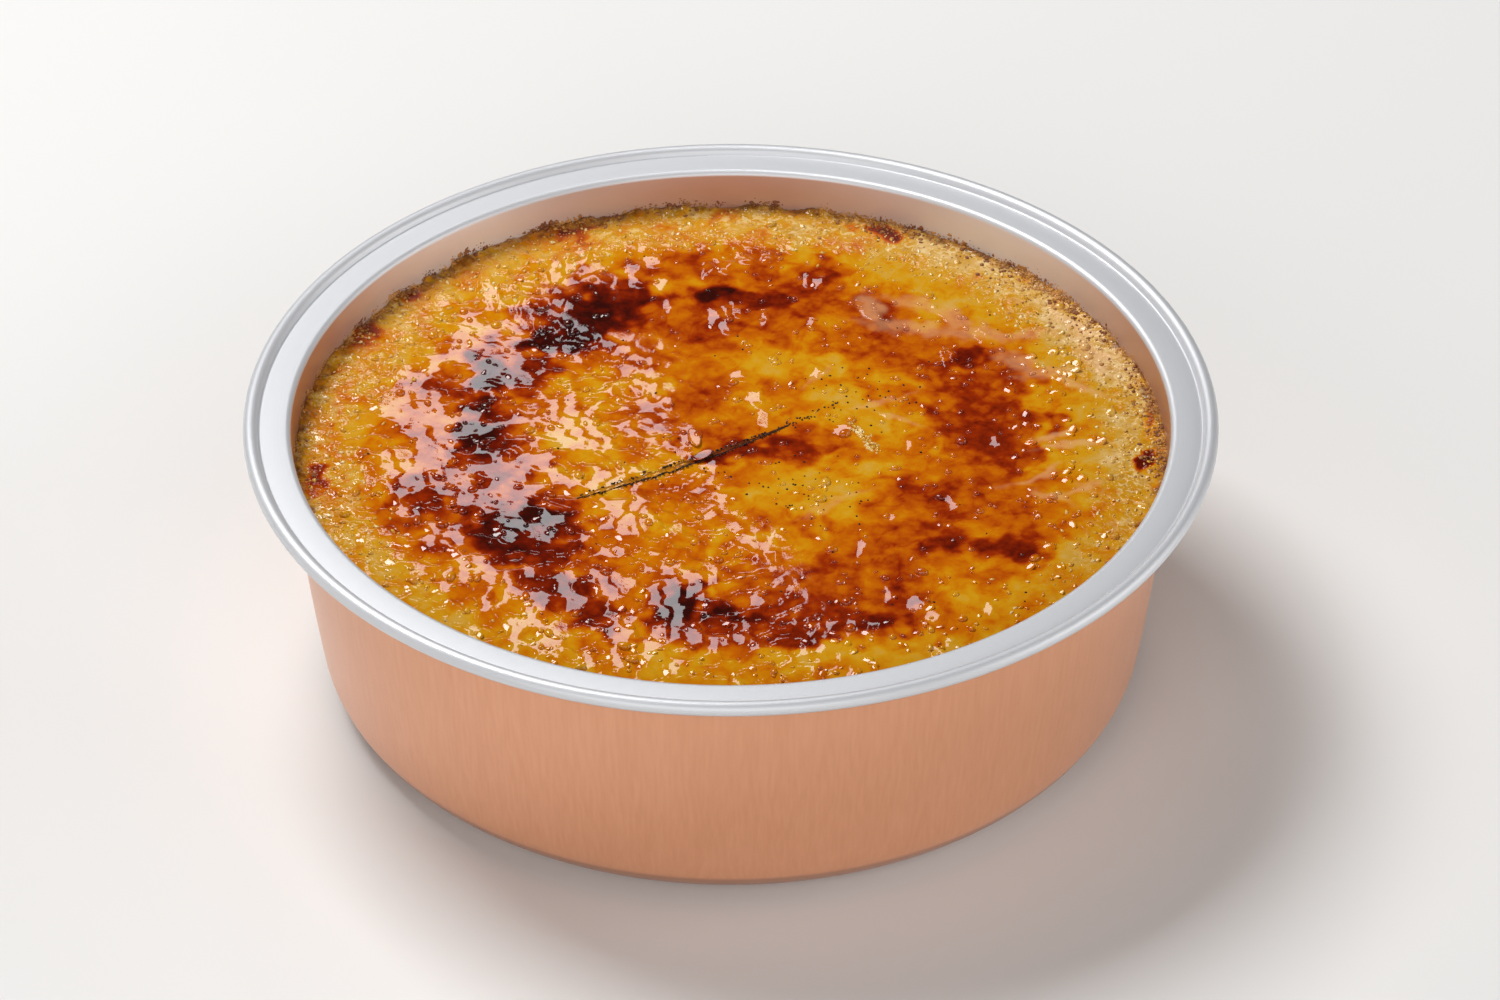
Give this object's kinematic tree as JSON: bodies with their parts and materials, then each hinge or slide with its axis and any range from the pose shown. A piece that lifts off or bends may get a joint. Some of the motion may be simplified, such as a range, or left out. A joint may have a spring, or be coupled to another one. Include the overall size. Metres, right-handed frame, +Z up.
{
  "type": "creme brulee",
  "caption": "Creme brulee under a torched, glassy caramel crust with a sliver of vanilla pod, in a round copper-coloured aluminium cup with a flat flange and rolled rim.",
  "frame": {"origin": "centre of the cup's flat base, on the surface that the cup stands on", "axes": "+Z up along the cup's axis; the vanilla pod runs from the -X -Y side to the +X +Y side"},
  "size_m": [0.1, 0.1, 0.0308],
  "materials": {
    "cup_aluminium": "satin copper-coloured lacquer inside and out, bare satin aluminium on the flange and bead",
    "caramel_custard": "glossy, glassy caramel over yellow custard, torched dark in patches",
    "vanilla_pod": "dark, wrinkled and oily"
  },
  "bodies": {
    "root": {"cup": "cup_aluminium", "custard": "caramel_custard", "vanilla_pod": "vanilla_pod"}
  },
  "joints": []
}
